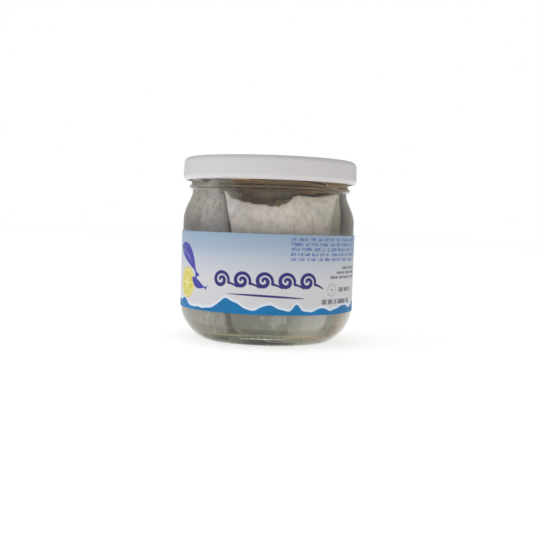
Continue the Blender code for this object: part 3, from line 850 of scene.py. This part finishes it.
class JAR_OT_label(bpy.types.Operator):
    """Adds the label: a thin sheet wrapped round the body, holding each ink's distance field at its points"""

    bl_idname = "jar.label"
    bl_label = "Wrap-around Label"

    def execute(self, context):
        half = math.pi - LABEL_BARE_ARC / 2
        columns = int(2 * half * LABEL_RADIUS / PRINT_GRAIN)
        rows = int(LABEL_HEIGHT / PRINT_GRAIN)
        loop_rows = rows + 2
        bearing = np.linspace(-half, half, columns)[:, None]
        up = np.linspace(0, LABEL_HEIGHT, rows)[None, :]
        x, y = np.broadcast_arrays(bearing * LABEL_RADIUS, up)
        ripple = LABEL_RIPPLE * patches(x, y, 7 * MM, 9 * MM, 8)
        outer = polar(bearing, LABEL_RADIUS - LABEL_RIPPLE + ripple, LABEL_BOTTOM + up)
        back = [rows - 1, 0]
        inner = polar(bearing, LABEL_RADIUS - LABEL_THICKNESS + ripple[:, back], LABEL_BOTTOM + up[:, back])
        loop = np.concatenate([outer, inner], axis=1)
        fields = label_print(x / MM, y / MM)
        fields["up"] = y / MM
        attributes = {key: np.concatenate([v, v[:, back]], axis=1) for key, v in fields.items()}
        fans = []
        for column in (0, columns - 1):
            edge = column * loop_rows + np.arange(loop_rows - 1)
            fan = together(edge[-1] + 1, edge[:-1], edge[1:])
            fans.append(fan[:, ::-1] if column else fan)
        quads = grid_quads(columns, loop_rows, wrap_columns=True)
        piece = mesh_piece("wrap_label", loop.reshape(-1, 3), quads, np.vstack(fans), attributes)
        dress(piece, label_material(colours()), "label_paper", "label")
        return {"FINISHED"}


# The rolled fillets

ROLL_GAP = 0.45 * MM
ROLL_OVERLAP = 0.1 * MM
ROLL_SQUARENESS = 13
ROLL_MIDDLE = 21.5 * MM
ROLL_BOTTOM = 7.2 * MM
# A roll's face turns in, and its inset grows, from the first of these heights to the second.
TURN_IN_HEIGHTS = (74 * MM, 60 * MM)
INSET_HEIGHTS = (14 * MM, 30 * MM)
END_ROUNDING = 2.4 * MM
FILLET_TURNS = 1.45
MEAN_REACH = 15.5 * MM
CUT_HEIGHT = 0.9 * MM
WINDING_GAP = 0.8 * MM
# How much lower the upper edge is on the inner windings, from the first of these turns to the second, and
# near the axis, from the first radius to the second.
INNER_DROP = 5.0 * MM
INNER_TURNS = (0.85, 1.15)
DROP_RADII = (27 * MM, 19 * MM)
# Each kind of crease: its depth, its size along the fillet, and its size upwards.
CREASES = np.array([(0.3, 6.0, 26.0), (0.14, 2.2, 9.0), (0.2, 9.0, 7.0), (0.08, 0.9, 2.4)]) * MM
CREASE_SINK = 0.3 * MM

# Where two rolls meet: the bearing of their parting at each of these heights, in degrees.
PARTING_HEIGHTS = np.array([53.0, 58.0, 62.0, 67.0, 71.0, 74.0]) * MM
FRONT_LEFT = np.array([-27.5, -29.0, -31.0, -34.5, -38.3, -42.0])
FRONT_RIGHT = np.array([71.0, 72.0, 73.5, 76.0, 78.5, 80.0])
BACK_RIGHT = np.full(6, 146.0)
BACK_LEFT = np.full(6, 236.0)

# The edge of the fish's darker back on the front roll, partly painted shade where its face turns from the glass:
# its bearing round the jar at each of these heights.
BACK_HEIGHTS = np.array([55.3, 58.8, 61.7, 65.1, 69.5, 72.6]) * MM
BACK_BEARINGS = (51.1, 51.4, 53.6, 58.6, 63.9, 66.5)

# The four rolls of the frame's heap. Bearings are in degrees round the jar and lengths in mm: the roll's
# middle; the partings where it starts and ends; its inset from the glass; the bearing from its middle at
# which its outer end lies, and which way it turns from there; from where to where its face turns in from the
# glass, and how far; its skin's tones, which are painted light and shade, at the top, the middle, the foot
# and the foot farther round; how much of the fish's darker back, partly painted shade, it shows; the
# contrast of its skin; and its upper edge, as bearings with heights.
ROLLS = (
    # Painted light and shade: the front roll's tones are lightest at the top and darkest at the foot, lighter
    # again farther round.
    {"name": "front", "middle": 15.75, "start": FRONT_LEFT, "end": FRONT_RIGHT, "inset": 0.0,
     "end_bearing": -88, "turn": 1, "turn_in": (66, 100, 3.0),
     "tones": ("ffffff", "dfdbda", "84867a", "d6dbe4"), "back_skin": 1.0, "contrast": 0.75,
     "edge": ((-46, 77.5), (-40, 76.5), (-36, 75.0), (-34, 73.0), (-33, 70.5), (-31.5, 68.6), (-28.8, 67.9),
              (-25, 67.3), (-21.5, 66.7), (-17, 66.3), (-14, 66.1), (-10, 65.5), (-6.4, 65.3), (-1.3, 65.0),
              (4, 65.0), (7.5, 65.2), (10, 65.9), (13, 66.6), (16.5, 67.9), (18.5, 68.8), (21.4, 69.6),
              (25, 70.0), (32, 70.0), (36, 69.7), (42, 69.6), (50, 70.2), (54, 70.7), (60, 71.4), (66, 72.6),
              (72, 73.4))},
    # Painted shade: the right roll's tones darken it above its foot.
    {"name": "right", "middle": 103.0, "start": FRONT_RIGHT, "end": BACK_RIGHT, "inset": 3.6,
     "end_bearing": 50, "turn": -1, "turn_in": (0, 90, 0.0),
     "tones": ("8c847c", "878079", "ffffff", "ffffff"), "back_skin": 0.0, "contrast": 1.0,
     "edge": ((57, 69.5), (87, 70.5), (116, 74.0), (146, 77.0))},
    # Painted light and shade: the back roll's tones are pale above and grey at the foot.
    {"name": "back", "middle": 191.0, "start": BACK_RIGHT, "end": BACK_LEFT, "inset": 1.0,
     "end_bearing": 250, "turn": 1, "turn_in": (0, 90, 0.0),
     "tones": ("fff3e2", "eee5d8", "b9b9af", "b9b9af"), "back_skin": 0.0, "contrast": 1.0,
     "edge": ((146, 77.0), (168, 78.0), (191, 78.0), (214, 77.5), (236, 77.0))},
    # Painted shade: the left roll's tones darken its middle below a lighter top.
    {"name": "left", "middle": 283.75, "start": BACK_LEFT, "end": FRONT_LEFT + 360, "inset": 0.0,
     "end_bearing": 62, "turn": -1, "turn_in": (-30, 10, 1.2),
     "tones": ("c2bfbc", "807e7e", "a8aba9", "a8aba9"), "back_skin": 0.0, "contrast": 1.6,
     "edge": ((236, 73.0), (262, 74.5), (284, 77.0), (305, 77.6), (327, 77.6))},
)


def eased_between(value, low, high):
    """0 at low and 1 at high, eased."""
    return eased((value - low) / (high - low))


def roll_reach(roll, bearing, height):
    """How far a roll's outline lies from its middle: a smooth minimum of the distances to what bounds it.

    Those are the glass, less the inset and what the face turns in by, and the two upright planes through
    the axis where its neighbours start. The smooth minimum is the sum of a high negative power of each.
    """
    turn = math.radians(roll["middle"])
    middle = np.array([math.sin(turn), -math.cos(turn)]) * ROLL_MIDDLE
    direction = together(np.sin(bearing), -np.cos(bearing))
    turn_from, turn_to, turn_depth = roll["turn_in"]
    facing = (np.degrees(bearing) + 180) % 360 - 180
    turned = eased_between(facing, turn_from, turn_to) * eased_between(height, *TURN_IN_HEIGHTS)
    inset = roll["inset"] * eased_between(height, *INSET_HEIGHTS)
    wall = inner_wall(height) - ROLL_GAP - (inset + turn_depth * turned) * MM
    inwards = -direction @ middle
    total = (inwards + np.sqrt(inwards ** 2 + wall ** 2 - middle @ middle)) ** -ROLL_SQUARENESS
    for key, side in (("start", -1), ("end", 1)):
        edge = np.radians(np.interp(height, PARTING_HEIGHTS, roll[key]))
        normal = together(np.cos(edge), np.sin(edge)) * side
        facing = np.maximum((direction * normal).sum(axis=-1), 1e-3)
        total = total + ((ROLL_OVERLAP - normal @ middle) / facing) ** -ROLL_SQUARENESS
    return total ** (-1 / ROLL_SQUARENESS), middle, direction


def bearing_of(point):
    """The bearing round the jar, in degrees, of points in plan."""
    return np.degrees(np.arctan2(point[..., 0], -point[..., 1]))


def roll_edge(roll, bearing, shrink):
    """The height of the fillet's upper edge, from its listed heights, at each point's place round the jar."""
    level = np.full(np.shape(bearing), sizes().shoulder_bottom + 8 * MM)
    reach, middle, direction = roll_reach(roll, bearing, level)
    point = middle + direction * (reach - shrink)[..., None]
    around = (bearing_of(point) - roll["middle"] + 180) % 360 - 180 + roll["middle"]
    places, heights = zip(*roll["edge"])
    inner = eased_between(np.hypot(point[..., 0], point[..., 1]), *DROP_RADII)
    return np.interp(around, places, heights) * MM - INNER_DROP * inner


def back_skin(around, height):
    """How far into the fish's darker back a point of the front roll lies, 0 to 1 across its edge, sharper above:
    partly the real back, partly painted shade where the face turns from the glass.
    """
    line = np.interp(height, BACK_HEIGHTS, BACK_BEARINGS)
    width = np.interp(height, [56 * MM, 70 * MM], [7.0, 3.0])
    return eased((around - line) / width + 0.5) * (around < 120)


def rolled_fillet(roll, seed, columns=360, rows=78, round_steps=8):
    """A fillet wound up from its outer end, as one closed loop of points carried along a spiral.

    The loop runs up the skin, over the cut upper edge as a half ellipse, down the flesh and under the
    lower edge. Along the spiral the bearing grows evenly and the reach shrinks evenly, and the upper edge
    drops on the inner windings. The thickness swells along the back of the fish, at half height, and thins
    to the edges and to both ends.
    """
    size = sizes()
    u = np.linspace(0, 1, columns)
    bearing = math.radians(roll["end_bearing"]) + roll["turn"] * ROUND * FILLET_TURNS * u
    winding = (size.fillet_thickness + WINDING_GAP) * FILLET_TURNS
    arc_length = u * FILLET_TURNS * ROUND * MEAN_REACH * (1 - 0.2 * u)
    inner = eased_between(u * FILLET_TURNS, *INNER_TURNS)
    top = roll_edge(roll, bearing, winding * u) - 0.6 * CUT_HEIGHT - INNER_DROP * inner
    top = top + 0.34 * MM * patches(arc_length, 0 * u, 3.1 * MM, 1.0, seed)
    top = top + 0.3 * MM * patches(arc_length, 0 * u, 1.1 * MM, 1.0, seed + 1)
    bottom = ROLL_BOTTOM + 0.3 * MM * (1 + patches(arc_length, 0 * u, 5.0 * MM, 1.0, seed + 2))
    climb = np.linspace(0, 1, rows)
    bend = np.linspace(0, np.pi, round_steps + 2)[1:-1]
    share = np.r_[climb, 1 + 0 * bend, climb[::-1], 0 * bend]
    beyond = np.r_[0 * climb, np.sin(bend), 0 * climb, -np.sin(bend)]
    side = np.r_[np.ones(rows), np.cos(bend), -np.ones(rows), -np.cos(bend)]
    thin_end = eased(np.minimum(u * 16, 1)) * eased(np.minimum((1 - u) * 12, 1))
    profile = 0.5 + 0.5 * (1 - (2 * share - 1) ** 4)
    thickness = size.fillet_thickness * (0.08 + 0.92 * thin_end)[:, None] * profile
    height = bottom[:, None] + (top - bottom)[:, None] * share
    height = height + CUT_HEIGHT * beyond * (0.3 + 0.7 * thin_end)[:, None]
    reach, middle, direction = roll_reach(roll, np.broadcast_to(bearing[:, None], height.shape), height)
    rounding = END_ROUNDING * np.where(share > 0.5, 0.15 * (2 * share - 1) ** 7, (1 - 2 * share) ** 5)
    long = np.broadcast_to(arc_length[:, None], height.shape)
    crease = 0 * height
    for number, (sink, along, upwards) in enumerate(CREASES):
        crease = crease + sink * patches(long, height, along, upwards, seed + 3 + number)
    crease = (crease - CREASE_SINK) * np.clip(0.5 + side, 0, 1)
    distance = reach - (winding * u)[:, None] - rounding - thickness * (1 - side) / 2 + crease
    flat = middle + direction * distance[..., None]
    attributes = {
        "arc": long / MM, "up": height / MM,
        "edge": (np.minimum(top[:, None] - height, height - bottom[:, None])) / MM,
        "skin_side": np.broadcast_to(side, height.shape),
        # back: the fish's darker back, partly painted shade where the face turns from the glass.
        "back": roll["back_skin"] * back_skin(bearing_of(flat), height),
    }
    return np.concatenate([flat, height[..., None]], axis=-1), attributes


class JAR_OT_rolls(bpy.types.Operator):
    """Adds the rolled fillets: each a closed loop carried along a spiral, inside its share of the jar"""

    bl_idname = "jar.rolls"
    bl_label = "Rolled Fillets"

    def execute(self, context):
        for number, roll in enumerate(ROLLS):
            grid, attributes = rolled_fillet(roll, 20 + 10 * number)
            columns, around = grid.shape[:2]
            faces = [grid_quads(columns, around, wrap_columns=True)]
            for column in (0, columns - 1):
                here = column * around + np.arange(around // 2)
                there = here[::-1] + around // 2
                cap = together(here[:-1], here[1:], there[1:], there[:-1])
                faces.append(cap[:, ::-1] if column else cap)
            name = "rolled_fillet_" + roll["name"]
            piece = mesh_piece(name, grid.reshape(-1, 3), np.vstack(faces), attributes=attributes)
            skin = "pickled_herring_skin_" + roll["name"]
            material = skin_material(skin, colours(), roll["tones"], roll["contrast"], number)
            dress(piece, material, "pickled_fish", "rollmops")
        return {"FINISHED"}


# The peppercorn's bearing, distance from the axis and height, and its radius.
SPICE_PLACE = (math.radians(-23.0), 33.4 * MM, 72.6 * MM)
SPICE_RADIUS = 1.5 * MM


class JAR_OT_spice(bpy.types.Operator):
    """Adds the peppercorn that floats at the neck: a ball of rings and spokes with a wrinkled radius"""

    bl_idname = "jar.spice"
    bl_label = "Peppercorn"

    def execute(self, context):
        middle = polar(*SPICE_PLACE)
        turn = np.linspace(0, ROUND, 40, endpoint=False)[:, None]
        rise = np.linspace(-np.pi / 2, np.pi / 2, 26)[None, 1:-1]
        radius = SPICE_RADIUS * (1 + 0.12 * patches(turn * 3, rise * 3, 1.0, 1.0, 4) * np.cos(rise))
        flat = radius * np.cos(rise)
        grid = together(flat * np.cos(turn) * 1.25, flat * np.sin(turn), radius * np.sin(rise))
        pole = np.array([0, 0, SPICE_RADIUS])
        piece = ringed_piece("peppercorn", grid + middle, middle - pole, middle + pole)
        dress(piece, spice_material(), "pickled_fish")
        return {"FINISHED"}


# The stage

CAMERA_DISTANCE = 452.0 * MM
CAMERA_HEIGHT = 58.9 * MM
CAMERA_SIDE = 1.4 * MM
FOCUS_PIXELS = 901.0
FRAME_PIXELS = 540.0
SENSOR_WIDTH = 36.0
CAMERA_PITCH = math.radians(3.12)
CAMERA_ROLL = math.radians(1.87)
# The floor's profile, from its top near the axis to its underside, as radius and height in metres.
FLOOR_THICKNESS = 0.02
FLOOR_PROFILE = np.array([
    (0.05, 0), (0.2, 0), (0.6, 0), (1.5, 0), (4.0, 0), (4.0, -FLOOR_THICKNESS), (0.05, -FLOOR_THICKNESS),
])


def soft_light(name, place, aim, size, power, colour, mirrored):
    """A soft box at a place, turned to its aim; only a mirrored one shows in the glass and the lacquer."""
    lamp = bpy.data.lights.new(name, "AREA")
    lamp.shape = "RECTANGLE"
    lamp.size, lamp.size_y = size
    lamp.energy = power
    lamp.color = linear(colour)[:3]
    box = bpy.data.objects.new(name, lamp)
    bpy.context.scene.collection.objects.link(box)
    towards = aim - np.array(place)
    yaw = math.atan2(towards[1], towards[0]) - math.pi / 2
    pitch = math.atan2(towards[2], math.hypot(towards[0], towards[1]))
    box.rotation_euler = (pitch + math.pi / 2, 0.0, yaw)
    box.location = place
    box.visible_glossy = mirrored


class JAR_OT_stage(bpy.types.Operator):
    """Adds the pale floor, the soft studio light, and the camera at the photograph's viewing angle"""

    bl_idname = "jar.stage"
    bl_label = "Stage"

    def execute(self, context):
        scene = context.scene
        floor = turned_piece("floor", *turned_grid(FLOOR_PROFILE, 96), 0.0, -FLOOR_THICKNESS, smooth=False)
        floor.data.materials.append(floor_material(colours()))

        world = bpy.data.worlds.new("studio")
        world.use_nodes = True
        world.node_tree.nodes.clear()
        node = partial(add_node, world.node_tree)
        seen = node("LightPath", out="Is Camera Ray")
        around = node("Background", {"Color": "fafafa", "Strength": 0.5})
        behind = node("Background", {"Color": "ffffff", "Strength": 1.0})
        node("OutputWorld", {"Surface": node("MixShader", {0: seen, 1: around, 2: behind})}, None)
        scene.world = world
        scene.view_settings.view_transform = "Standard"

        aim = np.array([0.0, 0.0, 0.045])
        soft_light("soft_box_left", (-1.5, -0.25, 0.6), aim, (1.6, 1.4), 7.3, "f0f0ff", False)
        soft_light("soft_box_front", (0.2, -1.7, 0.8), aim, (1.8, 1.4), 2.6, "fffaf4", True)

        camera = bpy.data.cameras.new("camera")
        camera.sensor_width = SENSOR_WIDTH
        camera.lens = SENSOR_WIDTH * FOCUS_PIXELS / FRAME_PIXELS
        camera.clip_start, camera.clip_end = 0.01, 20.0
        eye = bpy.data.objects.new("camera", camera)
        scene.collection.objects.link(eye)
        eye.location = (CAMERA_SIDE, -CAMERA_DISTANCE, CAMERA_HEIGHT)
        turned = Matrix.Rotation(math.pi / 2 - CAMERA_PITCH, 3, "X") @ Matrix.Rotation(CAMERA_ROLL, 3, "Z")
        eye.rotation_euler = turned.to_euler()
        scene.camera = eye
        return {"FINISHED"}


class JAR_PT_panel(bpy.types.Panel):
    """Lists the pieces, with their sizes and colours"""

    bl_idname = "JAR_PT_panel"
    bl_label = "Jar of Rollmops"
    bl_space_type = "VIEW_3D"
    bl_region_type = "UI"
    bl_category = "Jar"

    def draw(self, context):
        layout = self.layout
        for operator in OPERATORS:
            layout.operator(operator.bl_idname)
        for group in (context.scene.jar_sizes, context.scene.jar_colours):
            box = layout.box()
            for key in group.__annotations__:
                box.prop(group, key)


OPERATORS = (JAR_OT_glass, JAR_OT_lid, JAR_OT_label, JAR_OT_rolls, JAR_OT_spice, JAR_OT_brine, JAR_OT_stage)
CLASSES = (JarSizes, JarColours) + OPERATORS + (JAR_PT_panel,)


def register():
    for cls in CLASSES:
        bpy.utils.register_class(cls)
    bpy.types.Scene.jar_sizes = bpy.props.PointerProperty(type=JarSizes)
    bpy.types.Scene.jar_colours = bpy.props.PointerProperty(type=JarColours)


def unregister():
    del bpy.types.Scene.jar_sizes
    del bpy.types.Scene.jar_colours
    for cls in reversed(CLASSES):
        bpy.utils.unregister_class(cls)


def main():
    register()
    for operator in OPERATORS:
        getattr(bpy.ops.jar, operator.bl_idname.split(".")[1])()


if __name__ == "__main__":
    main()
